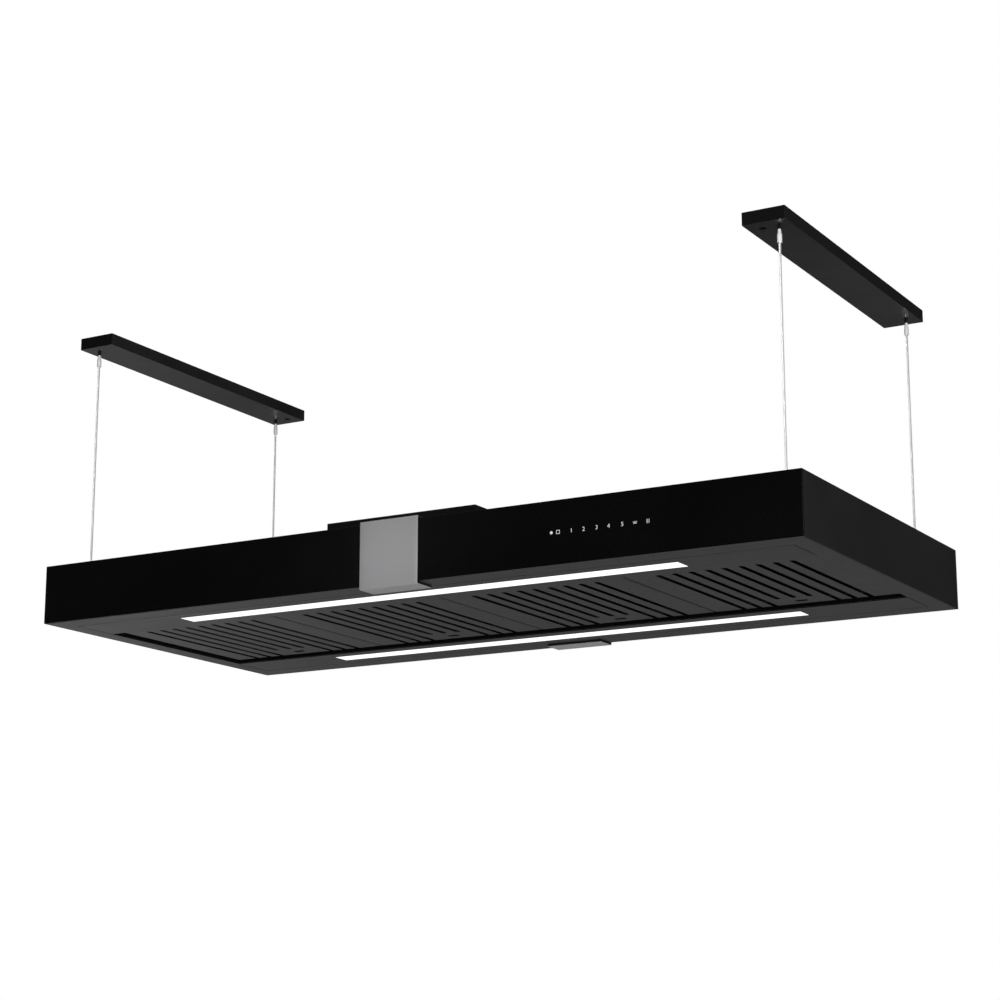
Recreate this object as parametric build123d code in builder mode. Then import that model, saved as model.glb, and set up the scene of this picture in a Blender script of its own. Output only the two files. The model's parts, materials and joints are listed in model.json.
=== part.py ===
# Island range hood hung on four steel wires below two ceiling bars.
# Row frame: origin in the ceiling plane above the middle of the hood, +X right, +Y back, +Z up.
# All sizes in millimetres.
import os

from build123d import *

os.makedirs("parts", exist_ok=True)

# --- driving dimensions -------------------------------------------------------------------
hood_width = 1500
hood_depth = 700
hood_height = 107
hood_drop = 550  # ceiling plane down to the underside of the hood
glass_thick = 5
side_thick = 3
sheet = 1.5
edge_break = 0.6

opening_width = 1425  # opening in the rim frame, along X
opening_depth = 600  # the same along Y, for both light panels and the filters
light_panel_depth = 100
rim_lip = 10
panel_wall = 3
seam = 1.5
led_length = 997
led_width = 40
led_flange = 5
led_room = 12

filter_pitch = 355.3
filter_width = 352
first_filter_cut = 10.5  # the left filter stops short of the end wall by this much more
filter_front = -194
filter_back = 182
filter_recess = 4.5  # the filters' lower face above the underside of the hood
filter_height = 8
slot_pitch = 30
slot_count = 9
slot_width = 10
slot_front = -170
short_slot_back = 125
grip_length = 23
grip_width = 13
grip_y = 155
pivot_y = -192
pivot_rise = 7
pivot_radius = 1.5
pivot_spread = 240
notch_width = 26
notch_depth = 7
magnet_spread = 284
magnet_y = 172
magnet_radius = 5
tray_height = 34
tray_ledge_rise = 14

wire_x = 698
wire_y = 287
wire_radius = 2
anchor_radius = 6
anchor_height = 12
bar_x = 682.5
bar_width = 75
bar_length = 632
bar_height = 22
bar_wall = 2
plate_width = 66
plate_length = 604
plate_thick = 3
plate_cut = 36
ceiling_bolt_spacing = 440
ceiling_bolt_radius = 4.5
stud_radius = 2
collar_radius = 3.25
collar_height = 6.5
gripper_radius = 4.15
gripper_length = 22.5
cable_hole_radius = 6
cable_hole_inset = 29  # from the wire towards the middle of the hood

cover_width = 298
cover_length = 632
cover_height = 20
outlet_width = 250
outlet_length = 270
blower_y = 158
blower_width = 290
blower_length = 300
blower_height = 70
impeller_radius = 115
blade_depth = 25
blade_count = 30
shaft_radius = 4
running_gap = 0.05

trim_width = 115
trim_reach_under = 44  # how far the trim turns under the hood
trim_reach_over = 30  # how far its packing reaches over the top, short of the outlet cover
trim_stand = 5  # how far it stands above and below the hood
trim_sheet = 1.2

# --- derived places -----------------------------------------------------------------------
under = -hood_drop
top = under + hood_height
half_x = hood_width / 2
half_y = hood_depth / 2
inner_x = half_x - side_thick
inner_y = half_y - glass_thick
opening_x = opening_width / 2
opening_y = opening_depth / 2
filter_well_y = opening_y - light_panel_depth
led_y = opening_y - light_panel_depth / 2
roof = top - sheet
bar_under = -bar_height
gripper_top = bar_under - collar_height
gripper_foot = gripper_top - gripper_length
anchor_top = top + anchor_height
slot_span = slot_pitch * (slot_count - 1)
filter_face_z = under + filter_recess
filter_top_z = filter_face_z + filter_height
ledge_z = under + tray_ledge_rise
pivot_z = under + pivot_rise
wire_places = [(x, y) for x in (-wire_x, wire_x) for y in (-wire_y, wire_y)]
filter_centres = [filter_pitch * (i - 1.5) for i in range(4)]


def slab(x, y, z, mode=Mode.ADD):
    """A box between two limits on each axis, in the part block that is open."""
    centre = ((x[0] + x[1]) / 2, (y[0] + y[1]) / 2, (z[0] + z[1]) / 2)
    with Locations(centre):
        Box(x[1] - x[0], y[1] - y[0], z[1] - z[0], mode=mode)


def rod(place, z, radius, mode=Mode.ADD):
    """An upright cylinder between two heights, in the part block that is open."""
    with Locations((place[0], place[1], (z[0] + z[1]) / 2)):
        Cylinder(radius, z[1] - z[0], mode=mode)


def save(builder, name):
    builder.part.label = name
    export_step(builder.part, f"parts/{name}.step")


# --- ceiling fixing -----------------------------------------------------------------------
def make_mounting_plate(name, side):
    x = side * bar_x
    with BuildPart() as plate:
        with BuildSketch(Plane.XY.offset(-plate_thick)):
            with Locations((x, 0)):
                Rectangle(plate_width, plate_length)
            with Locations((x, -ceiling_bolt_spacing / 2), (x, ceiling_bolt_spacing / 2)):
                Circle(ceiling_bolt_radius, mode=Mode.SUBTRACT)
            with Locations((side * wire_x, -wire_y), (side * wire_x, wire_y)):
                Circle(stud_radius + running_gap, mode=Mode.SUBTRACT)
            # one corner is cut away above the bar's cable hole
            cut_x = x - side * (plate_width - plate_cut) / 2
            with Locations((cut_x, side * (plate_cut - plate_length) / 2)):
                Rectangle(plate_cut, plate_cut, mode=Mode.SUBTRACT)
        extrude(amount=plate_thick)
    save(plate, name)


def make_ceiling_bar(name, side):
    """Channel that hides the mounting plate; one end has a cable hole beside the wire."""
    x = side * bar_x
    cable_x = side * (wire_x - cable_hole_inset)
    cable_y = -side * wire_y
    inside = bar_width / 2 - bar_wall
    with BuildPart() as bar:
        slab((x - bar_width / 2, x + bar_width / 2), (-bar_length / 2, bar_length / 2), (bar_under, 0))
        chamfer(bar.edges().filter_by(Axis.Z), edge_break)
        slab((x - inside, x + inside), (bar_wall - bar_length / 2, bar_length / 2 - bar_wall),
             (bar_under + bar_wall, 0), Mode.SUBTRACT)
        for y in (-wire_y, wire_y):
            rod((side * wire_x, y), (bar_under, 0), stud_radius + 0.2, Mode.SUBTRACT)
        rod((cable_x, cable_y), (bar_under, 0), cable_hole_radius, Mode.SUBTRACT)
        # two turned-in lugs carry the bar on the plate's long edges
        for y in (-plate_length / 4, plate_length / 4):
            for edge in (-1, 1):
                lug = sorted((x + edge * plate_width / 2, x + edge * (inside + bar_wall / 2)))
                slab(lug, (y - 10, y + 10), (-plate_thick, -1))
    save(bar, name)


def make_ceiling_studs():
    head_radius = 7
    head_height = 4
    with BuildPart() as studs:
        for place in wire_places:
            rod(place, (gripper_top, -1), stud_radius)
            rod(place, (-plate_thick - head_height, -plate_thick), head_radius)
    save(studs, "ceiling_studs")


def make_stud_collars():
    with BuildPart() as collars:
        for place in wire_places:
            rod(place, (gripper_top, bar_under), collar_radius)
            rod(place, (gripper_top, bar_under), stud_radius + running_gap, Mode.SUBTRACT)
    save(collars, "stud_collars")


def make_wire_grippers():
    """Turned cable grippers: a cone under the collar and a barrel with a flat foot."""
    cone = 12
    cone_radius = 2.5
    with BuildPart() as grippers:
        for place in wire_places:
            rod(place, (gripper_foot, gripper_top - cone), gripper_radius)
            with Locations((place[0], place[1], gripper_top - cone / 2)):
                Cone(gripper_radius, cone_radius, cone)
    save(grippers, "wire_grippers")


def make_wire(name, place):
    with BuildPart() as wire:
        rod(place, (anchor_top, gripper_foot), wire_radius)
    save(wire, name)


def make_wire_anchors():
    """Threaded anchors through the top panel into the cross beams."""
    shoulder = 3
    with BuildPart() as anchors:
        for place in wire_places:
            rod(place, (top, anchor_top - shoulder), anchor_radius)
            with Locations((place[0], place[1], anchor_top - shoulder / 2)):
                Cone(anchor_radius, wire_radius + 1, shoulder)
            rod(place, (roof - sheet - 8, top), 3)
    save(anchors, "wire_anchors")


def make_cross_beam(name, side):
    """Channel under the top panel that takes the two anchors of one side."""
    width, height, wall = 30, 20, 2
    x = side * wire_x
    with BuildPart() as beam:
        slab((x - width / 2, x + width / 2), (-inner_y, inner_y), (roof - height, roof))
        slab((x - width / 2 + wall, x + width / 2 - wall), (-inner_y, inner_y),
             (roof - height, roof - wall), Mode.SUBTRACT)
        for y in (-wire_y, wire_y):
            rod((x, y), (roof - height, roof), 3 + running_gap, Mode.SUBTRACT)
    save(beam, name)


# --- outer case ---------------------------------------------------------------------------
def make_glass(name, side):
    y = sorted((side * inner_y, side * half_y))
    with BuildPart() as glass:
        slab((-half_x, half_x), y, (under, top))
        outer = glass.faces().sort_by(Axis.Y)[-1 if side > 0 else 0]
        chamfer(outer.edges(), edge_break)
    save(glass, name)


def make_side_panel(name, side):
    x = sorted((side * inner_x, side * half_x))
    with BuildPart() as panel:
        slab(x, (-inner_y, inner_y), (under, top))
        outer = panel.faces().sort_by(Axis.X)[-1 if side > 0 else 0]
        chamfer(outer.edges().filter_by(Axis.Y), edge_break)
    save(panel, name)


def make_top_panel():
    inlet_x, inlet_y, inlet_radius = -520, 250, 8
    with BuildPart() as panel:
        slab((-inner_x, inner_x), (-inner_y, inner_y), (roof, top))
        for y in (-blower_y, blower_y):
            slab((-outlet_width / 2, outlet_width / 2), (y - outlet_length / 2, y + outlet_length / 2),
                 (roof, top), Mode.SUBTRACT)
        for place in wire_places:
            rod(place, (roof, top), 3 + running_gap, Mode.SUBTRACT)
        rod((inlet_x, inlet_y), (roof, top), inlet_radius, Mode.SUBTRACT)
    save(panel, "top_panel")
    with BuildPart() as inlet:
        rod((inlet_x, inlet_y), (roof - 6, top), inlet_radius - running_gap)
        rod((inlet_x, inlet_y), (top, top + 8), 11)
        rod((inlet_x, inlet_y), (roof - 6, top + 8), 4, Mode.SUBTRACT)
    save(inlet, "cable_gland")


def make_rim_frame():
    """Flat frame under the hood with a turned-up lip round its opening."""
    with BuildPart() as rim:
        slab((-inner_x, inner_x), (-inner_y, inner_y), (under, under + sheet))
        slab((-opening_x - sheet, opening_x + sheet), (-opening_y - sheet, opening_y + sheet),
             (under, under + rim_lip))
        slab((-opening_x, opening_x), (-opening_y, opening_y), (under, under + rim_lip), Mode.SUBTRACT)
    save(rim, "rim_frame")


# --- lights -------------------------------------------------------------------------------
def make_light_panel(name, side):
    """Flush panel with a window for the light strip and a stiffening frame behind its edges."""
    y_wall = sorted((side * filter_well_y, side * opening_y))
    with BuildPart() as panel:
        slab((-opening_x, opening_x), y_wall, (under + sheet, under + rim_lip))
        slab((panel_wall - opening_x, opening_x - panel_wall),
             (y_wall[0] + panel_wall, y_wall[1] - panel_wall),
             (under + sheet, under + rim_lip), Mode.SUBTRACT)
        slab((seam - opening_x, opening_x - seam), (y_wall[0] + seam, y_wall[1] - seam),
             (under, under + sheet))
        slab((-led_length / 2, led_length / 2), (side * led_y - led_width / 2, side * led_y + led_width / 2),
             (under, under + sheet), Mode.SUBTRACT)
    save(panel, name)


def make_led_diffuser(name, side):
    play = 0.2
    with BuildPart() as diffuser:
        for grow, z in ((-play, (under, under + sheet)), (led_flange, (under + sheet, under + 2 * sheet))):
            slab((-led_length / 2 - grow, led_length / 2 + grow),
                 (side * led_y - led_width / 2 - grow, side * led_y + led_width / 2 + grow), z)
    save(diffuser, name)


def make_led_board(name, side):
    """Aluminium channel over the diffuser with a row of light emitters under its roof."""
    half = led_width / 2 + led_flange
    wall = 1.5
    foot = under + sheet
    board_roof = foot + led_room
    emitters = 25
    with BuildPart() as board:
        slab((-led_length / 2 - led_flange - wall, led_length / 2 + led_flange + wall),
             (side * led_y - half - wall, side * led_y + half + wall), (foot, board_roof + wall))
        slab((-led_length / 2 - led_flange, led_length / 2 + led_flange),
             (side * led_y - half, side * led_y + half), (foot, board_roof), Mode.SUBTRACT)
        with Locations((0, side * led_y, board_roof - 0.5)):
            with GridLocations(led_length / emitters, 1, emitters, 1):
                Box(5, 5, 1)
    save(board, name)


# --- filters ------------------------------------------------------------------------------
def filter_sides(centre):
    """The two ends of a filter along X; the left one is cut short at its outer end."""
    cut = first_filter_cut if centre == filter_centres[0] else 0
    return centre - filter_width / 2 + cut, centre + filter_width / 2


def make_filter_face(name, centre):
    """Slotted steel tray that can be seen from below, with hinge pins in its front edge."""
    wall = 1
    pad = 6
    x = filter_sides(centre)
    y = (filter_front, filter_back)
    with BuildPart() as face:
        slab(x, y, (filter_face_z, filter_top_z))
        slab((x[0] + wall, x[1] - wall), (y[0] + wall, y[1] - wall),
             (filter_face_z + wall, filter_top_z), Mode.SUBTRACT)
        with BuildSketch(Plane.XY.offset(filter_face_z)):
            for i in range(slot_count):
                slot_x = centre + slot_pitch * i - slot_span / 2
                short = abs(i - slot_count // 2) <= 1
                back = short_slot_back if short else filter_back + slot_width
                with Locations((slot_x, (slot_front + back) / 2)):
                    SlotOverall(back - slot_front, slot_width, rotation=90)
            with Locations((centre, grip_y)):
                RectangleRounded(grip_length, grip_width, 3)
        extrude(amount=wall, mode=Mode.SUBTRACT)
        # pads that meet the magnets
        for magnet_x in (centre - magnet_spread / 2, centre + magnet_spread / 2):
            slab((magnet_x - pad, magnet_x + pad), (magnet_y - pad, magnet_y + pad),
                 (filter_face_z + wall, filter_top_z))
        # notches bridged by the hinge pins
        for pivot_x in (centre - pivot_spread / 2, centre + pivot_spread / 2):
            notch = (pivot_x - notch_width / 2, pivot_x + notch_width / 2)
            slab((notch[0] - wall, notch[1] + wall), (filter_front, filter_front + notch_depth + wall),
                 (filter_face_z, filter_top_z))
            slab(notch, (filter_front, filter_front + notch_depth), (filter_face_z, filter_top_z),
                 Mode.SUBTRACT)
            with Locations(Location((pivot_x, pivot_y, pivot_z), (0, 90, 0))):
                Cylinder(pivot_radius, notch_width)
    save(face, name)


def make_filter_core(name, centre):
    """Inner baffle whose slots lie between those of the face, so that grease is caught."""
    low = filter_top_z - 1.5
    left, right = filter_sides(centre)
    y = (filter_front + notch_depth + 1, magnet_y - 8)
    with BuildPart() as core:
        slab((left + 1, right - 1), y, (low, low + 1))
        slot_x = [centre + slot_pitch * (i + 0.5) - slot_span / 2 for i in range(slot_count - 1)]
        for x_slot in slot_x:
            slab((x_slot - slot_width / 2, x_slot + slot_width / 2), (slot_front, short_slot_back),
                 (low, low + 1), Mode.SUBTRACT)
    save(core, name)


def make_finger_pull(name, centre):
    """Plastic cup behind the grip opening of a filter."""
    wall = 1.5
    base = filter_face_z + 1
    with BuildPart() as pull:
        with Locations((centre, grip_y, base + 2.5)):
            Box(grip_length + 2 * wall, grip_width + 2 * wall, 5)
        with Locations((centre, grip_y, base + 1.75)):
            Box(grip_length, grip_width, 3.5, mode=Mode.SUBTRACT)
    save(pull, name)


def make_filter_tray():
    """Black well round the filters: walls, a ledge above the filters and rails over their joints."""
    z = (under + sheet, under + tray_height)
    ledge = (ledge_z, ledge_z + sheet)
    with BuildPart() as tray:
        slab((-opening_x, opening_x), (-filter_well_y, filter_well_y), z)
        slab((sheet - opening_x, opening_x - sheet), (sheet - filter_well_y, filter_well_y - sheet),
             z, Mode.SUBTRACT)
        slab((-opening_x, opening_x), (-filter_well_y, filter_well_y), ledge)
        for x in filter_centres:
            slab((x - filter_pitch / 2 + 20, x + filter_pitch / 2 - 20),
                 (filter_front + 14, magnet_y - 7), ledge, Mode.SUBTRACT)
    save(tray, "filter_tray")


def make_hinge_hooks():
    """Troughs on the front wall of the well, under the filters' hinge pins."""
    length = 20
    gap = 0.3
    thick = 1.2
    floor = (pivot_z - pivot_radius - gap - thick, pivot_z - pivot_radius - gap)
    lip = (pivot_y + pivot_radius + gap, pivot_y + pivot_radius + gap + thick)
    with BuildPart() as hooks:
        for centre in filter_centres:
            for x in (centre - pivot_spread / 2, centre + pivot_spread / 2):
                slab((x - length / 2, x + length / 2), (sheet - filter_well_y, lip[1]), floor)
                slab((x - length / 2, x + length / 2), lip, (floor[0], pivot_z + 0.5))
    save(hooks, "hinge_hooks")


def make_catch_magnets():
    with BuildPart() as magnets:
        for centre in filter_centres:
            for x in (centre - magnet_spread / 2, centre + magnet_spread / 2):
                rod((x, magnet_y), (filter_top_z, ledge_z), magnet_radius)
    save(magnets, "catch_magnets")


# --- fans ---------------------------------------------------------------------------------
def make_blower_housing(name, y):
    """Square housing, open at the top, with a round inlet and a scroll wall."""
    wall = 1.5
    inlet_radius = 85
    low = roof - blower_height
    x_half, y_half = blower_width / 2, blower_length / 2
    with BuildPart() as housing:
        slab((-x_half, x_half), (y - y_half, y + y_half), (low, roof))
        slab((wall - x_half, x_half - wall), (y - y_half + wall, y + y_half - wall),
             (low + wall, roof), Mode.SUBTRACT)
        rod((0, y), (low, low + wall), inlet_radius, Mode.SUBTRACT)
        with BuildSketch(Plane.XY.offset(low + wall)):
            with Locations((0, y)):
                Circle(impeller_radius + 15)
                Circle(impeller_radius + 13, mode=Mode.SUBTRACT)
                with Locations((impeller_radius, impeller_radius)):
                    Rectangle(2 * impeller_radius, 2 * impeller_radius, mode=Mode.SUBTRACT)
        extrude(amount=blower_height - wall - 5)
    save(housing, name)


def make_motor(name, y):
    strap_low = roof - 3.5
    with BuildPart() as motor:
        rod((0, y), (strap_low - 34, strap_low), 50)
        chamfer(motor.edges().sort_by(Axis.Z)[0], 4)
        rod((0, y), (roof - 56, strap_low - 34), shaft_radius)
    save(motor, name)


def make_motor_brackets():
    wall = 1.5
    with BuildPart() as brackets:
        for y in (-blower_y, blower_y):
            slab((wall - blower_width / 2, blower_width / 2 - wall), (y - 20, y + 20), (roof - 3.5, roof))
    save(brackets, "motor_brackets")


def make_impeller(name, y):
    """Drum of straight radial blades on a disc, with a bored hub that runs on the motor shaft."""
    low, high = roof - 66, roof - 8
    disc = (roof - 44, roof - 42)
    blade_thick = 1.5
    ring_depth = 4
    with BuildPart() as impeller:
        rod((0, y), disc, impeller_radius)
        rod((0, y), (roof - 54, disc[0]), 14)
        for z in ((low, low + 2), (high - 2, high)):
            with BuildSketch(Plane.XY.offset(z[0])):
                with Locations((0, y)):
                    Circle(impeller_radius)
                    Circle(impeller_radius - ring_depth, mode=Mode.SUBTRACT)
            extrude(amount=2)
        with BuildSketch(Plane.XY.offset(low)):
            with Locations((0, y)):
                with PolarLocations(impeller_radius - blade_depth / 2, blade_count):
                    Rectangle(blade_depth - 1, blade_thick)
        extrude(amount=high - low)
        rod((0, y), (low, high), shaft_radius + running_gap, Mode.SUBTRACT)
    save(impeller, name)


# --- outlet and electrics -----------------------------------------------------------------
def make_outlet_cover():
    wall = 1.5
    slot_size = (110, 6)
    rows = 44
    half_w, half_l = cover_width / 2, cover_length / 2
    with BuildPart() as cover:
        slab((-half_w, half_w), (-half_l, half_l), (top, top + cover_height))
        chamfer(cover.faces().sort_by(Axis.Z)[-1].edges(), edge_break)
        slab((wall - half_w, half_w - wall), (wall - half_l, half_l - wall),
             (top, top + cover_height - wall), Mode.SUBTRACT)
        with BuildSketch(Plane.XY.offset(top + cover_height - wall)):
            with GridLocations(half_w - 14, 2 * slot_size[1], 2, rows):
                SlotOverall(*slot_size)
        extrude(amount=wall, mode=Mode.SUBTRACT)
    save(cover, "outlet_cover")


def make_charcoal_cassette(name, y):
    height = 14
    cells = 12
    rest = 8  # how far the frame sits on the top panel
    with BuildPart() as cassette:
        half_w, half_l = outlet_width / 2 + rest, outlet_length / 2 + rest
        slab((-half_w, half_w), (y - half_l, y + half_l), (top, top + height))
        with BuildSketch(Plane.XY.offset(top)):
            with Locations((0, y)):
                with GridLocations(outlet_width / cells, outlet_length / cells, cells, cells):
                    RegularPolygon(9, 6)
        extrude(amount=height, mode=Mode.SUBTRACT)
    save(cassette, name)


def make_electrics():
    with BuildPart() as control_box:
        slab((-460, -280), (-60, 60), (roof - 35, roof))
        fillet(control_box.edges().filter_by(Axis.Z), 4)
    save(control_box, "control_box")
    with BuildPart() as driver:
        slab((300, 480), (-30, 30), (roof - 28, roof))
        fillet(driver.edges().filter_by(Axis.Z), 4)
    save(driver, "led_driver")
    with BuildPart() as touch_board:
        slab((296, 502), (-inner_y, 1.6 - inner_y), (under + 36, under + 72))
        with Locations((399, 4.1 - inner_y, under + 62)):
            Box(40, 5, 8)
    save(touch_board, "touch_board")


# --- front and rear trim ------------------------------------------------------------------
def make_trim(name, side):
    """Stainless strap on the glass, turned under the hood, with dark packing below and above it."""
    width = (-trim_width / 2, trim_width / 2)
    face = sorted((side * half_y, side * (half_y + trim_sheet)))
    flange = sorted((side * (half_y + trim_sheet), side * (half_y - trim_reach_under)))
    packing_under = sorted((side * half_y, side * (half_y - trim_reach_under)))
    packing_over = sorted((side * half_y, side * (half_y - trim_reach_over)))
    low, high = under - trim_stand, top + trim_stand
    with BuildPart() as strap:
        slab(width, face, (low, high))
        slab(width, flange, (low, low + trim_sheet))
    save(strap, f"{name}_trim")
    with BuildPart() as packing:
        slab(width, packing_under, (low + trim_sheet, under))
        slab(width, packing_over, (top, high))
    save(packing, f"{name}_trim_backing")


for side_name, side in (("left", -1), ("right", 1)):
    make_mounting_plate(f"mounting_plate_{side_name}", side)
    make_ceiling_bar(f"ceiling_bar_{side_name}", side)
    make_cross_beam(f"cross_beam_{side_name}", side)
    make_side_panel(f"side_panel_{side_name}", side)
    for end_name, end in (("front", -1), ("rear", 1)):
        make_wire(f"wire_{end_name}_{side_name}", (side * wire_x, end * wire_y))

make_ceiling_studs()
make_stud_collars()
make_wire_grippers()
make_wire_anchors()
make_top_panel()
make_rim_frame()

for end_name, end in (("front", -1), ("rear", 1)):
    make_glass(f"{end_name}_glass", end)
    make_light_panel(f"light_panel_{end_name}", end)
    make_led_diffuser(f"led_diffuser_{end_name}", end)
    make_led_board(f"led_board_{end_name}", end)
    make_blower_housing(f"blower_housing_{end_name}", end * blower_y)
    make_motor(f"motor_{end_name}", end * blower_y)
    make_impeller(f"impeller_{end_name}", end * blower_y)
    make_charcoal_cassette(f"charcoal_cassette_{end_name}", end * blower_y)
    make_trim(end_name, end)

make_filter_tray()
make_hinge_hooks()
make_catch_magnets()
for i, centre in enumerate(filter_centres, start=1):
    make_filter_face(f"filter_face_{i}", centre)
    make_filter_core(f"filter_core_{i}", centre)
    make_finger_pull(f"finger_pull_{i}", centre)

make_motor_brackets()
make_outlet_cover()
make_electrics()
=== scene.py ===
import bmesh
import bpy
import json
import math
import numpy as np
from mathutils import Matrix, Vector


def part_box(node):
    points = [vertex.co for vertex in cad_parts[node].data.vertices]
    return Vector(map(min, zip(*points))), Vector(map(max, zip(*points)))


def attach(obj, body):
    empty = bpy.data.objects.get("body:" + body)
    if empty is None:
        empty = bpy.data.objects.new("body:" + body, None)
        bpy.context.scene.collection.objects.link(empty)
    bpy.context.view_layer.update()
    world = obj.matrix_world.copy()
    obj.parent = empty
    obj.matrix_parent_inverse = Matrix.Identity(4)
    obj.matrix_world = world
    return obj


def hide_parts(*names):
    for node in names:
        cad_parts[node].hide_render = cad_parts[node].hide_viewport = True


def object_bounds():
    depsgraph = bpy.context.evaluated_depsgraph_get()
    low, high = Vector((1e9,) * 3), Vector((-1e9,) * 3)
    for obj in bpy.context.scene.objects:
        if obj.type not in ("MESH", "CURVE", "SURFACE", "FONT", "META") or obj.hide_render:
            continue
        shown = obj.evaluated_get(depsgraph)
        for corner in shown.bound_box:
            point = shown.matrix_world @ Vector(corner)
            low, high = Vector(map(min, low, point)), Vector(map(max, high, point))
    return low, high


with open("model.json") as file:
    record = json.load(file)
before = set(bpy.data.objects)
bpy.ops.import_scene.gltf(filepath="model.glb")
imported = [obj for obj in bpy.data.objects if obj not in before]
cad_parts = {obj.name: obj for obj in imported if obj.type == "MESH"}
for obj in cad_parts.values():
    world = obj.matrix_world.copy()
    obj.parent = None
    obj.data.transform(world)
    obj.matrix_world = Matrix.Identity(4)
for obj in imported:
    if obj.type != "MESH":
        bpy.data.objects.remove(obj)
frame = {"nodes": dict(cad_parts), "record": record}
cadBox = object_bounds()
nodes = frame["nodes"]
print("frame loaded:", len(nodes), "nodes")

mm = 0.001
fullTurn = 2 * math.pi
quarterTurn = fullTurn / 4
plainAxes = np.eye(3)


# lowest and highest corner of a node as arrays
def boxOf(node):
    low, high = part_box(node)
    return np.array(low), np.array(high)


def addObject(name, data):
    holder = bpy.data.objects.new(name, data)
    bpy.context.scene.collection.objects.link(holder)
    return holder


def setInputs(node, values):
    for label, value in values.items():
        node.inputs[label].default_value = value


# material with these values on its shader's sockets
def newMaterial(name, sockets):
    material = bpy.data.materials.new(name)
    material.use_nodes = True
    shader = material.node_tree.nodes["Principled BSDF"]
    setInputs(shader, sockets)
    return material, material.node_tree, shader


# a node whose attributes and input sockets are set by name; a socket name starts with _
def addNode(tree, kind, **values):
    node = tree.nodes.new("ShaderNode" + kind)
    for key, value in values.items():
        if key.startswith("_"):
            label = key[1:].replace("_", " ")
            node.inputs[int(label) if label.isdigit() else label].default_value = value
        else:
            setattr(node, key, value)
    return node


def join(tree, *pairs):
    for source, target in pairs:
        tree.links.new(source, target)


stageLook = dict(
    place=(2.08334, -3.57372, -1.30892),
    yaw=30.077,
    pitch=13.264,
    lens=83.86,
    floorDrop=2.05,
    floorSize=50.0,
    floorPaint=0.86,
    floorLift=0.5,  # glow that only the camera sees
    seenSky=1.0,
    litSky=0.035,
    ceilingGlow=0.45,
    ceilingFrom=0.45,  # height of a direction where the glow starts, and where it is full
    ceilingFull=0.95,
)
lamps = dict(
    frontRight=dict(place=(1.2, -4.2, 0.4), aim=(-0.1, -0.3, -0.5), size=1.8, power=8),
    underGlow=dict(place=(-2.8, 1.4, -2.35), aim=(-0.4, 0, -0.55), size=2.4, power=11),
    rightSide=dict(place=(3.4, -0.6, -0.35), aim=(0.4, 0, -0.4), size=1.6, power=22),
    overhead=dict(place=(0.6, 0.7, 2.2), aim=(0, 0, -0.4), size=2.4, power=30),
)
ropeLamp = dict(place=(1.6, -3.4, -0.8), aim=(0, 0, -0.2), size=1.2, power=125)
strapLamp = dict(place=(0.9, -2.6, -0.2), aim=(0, -0.35, -0.5), radius=0.12, power=68, cone=7.5, blend=0.35)


def makeCamera():
    data = bpy.data.cameras.new("camera")
    camera = addObject("camera", data)
    data.sensor_width = 36
    data.lens = stageLook["lens"]
    data.clip_end = 100
    camera.location = stageLook["place"]
    camera.rotation_euler = (math.radians(90 + stageLook["pitch"]), 0, math.radians(stageLook["yaw"]))
    bpy.context.scene.camera = camera


# white where the camera looks past the hood, dim where the hood mirrors it, brighter overhead
def makeWorld():
    world = bpy.data.worlds.new("studio")
    bpy.context.scene.world = world
    world.use_nodes = True
    tree = world.node_tree
    tree.nodes.clear()
    out = addNode(tree, "OutputWorld")
    seen = addNode(tree, "Background", _Color=(1, 1, 1, 1), _Strength=stageLook["seenSky"])
    lit = addNode(tree, "Background")
    mix = addNode(tree, "MixShader")
    rays = addNode(tree, "LightPath")
    place = addNode(tree, "TexCoord")
    split = addNode(tree, "SeparateXYZ")
    ramp = addNode(tree, "MapRange", _From_Min=stageLook["ceilingFrom"], _From_Max=stageLook["ceilingFull"],
                   _To_Min=stageLook["litSky"], _To_Max=stageLook["ceilingGlow"])
    join(
        tree,
        (place.outputs["Generated"], split.inputs[0]), (split.outputs["Z"], ramp.inputs["Value"]),
        (ramp.outputs["Result"], lit.inputs["Strength"]), (rays.outputs["Is Camera Ray"], mix.inputs["Fac"]),
        (lit.outputs[0], mix.inputs[1]), (seen.outputs[0], mix.inputs[2]),
        (mix.outputs[0], out.inputs["Surface"]),
    )


# area or spot lamp at its place, turned to its aim
def addLamp(name, kind, look):
    data = bpy.data.lights.new(name, kind)
    data.energy = look["power"]
    lamp = addObject(name, data)
    lamp.location = look["place"]
    towards = Vector(look["aim"]) - Vector(look["place"])
    lamp.rotation_euler = towards.to_track_quat("-Z", "Y").to_euler()
    if kind == "AREA":
        data.shape = "DISK"
        data.size = look["size"]
        lamp.visible_camera = False
    else:
        data.shadow_soft_size = look["radius"]
        data.spot_size = math.radians(look["cone"])
        data.spot_blend = look["blend"]
    return lamp


# lamp that reaches the ropes and their grippers alone, which hang in the open
def makeRopeLamp(pieces):
    lit = bpy.data.collections.new("ropeLight")
    for piece in pieces:
        lit.objects.link(piece)
    addLamp("ropeLamp", "AREA", ropeLamp).light_linking.receiver_collection = lit


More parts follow.
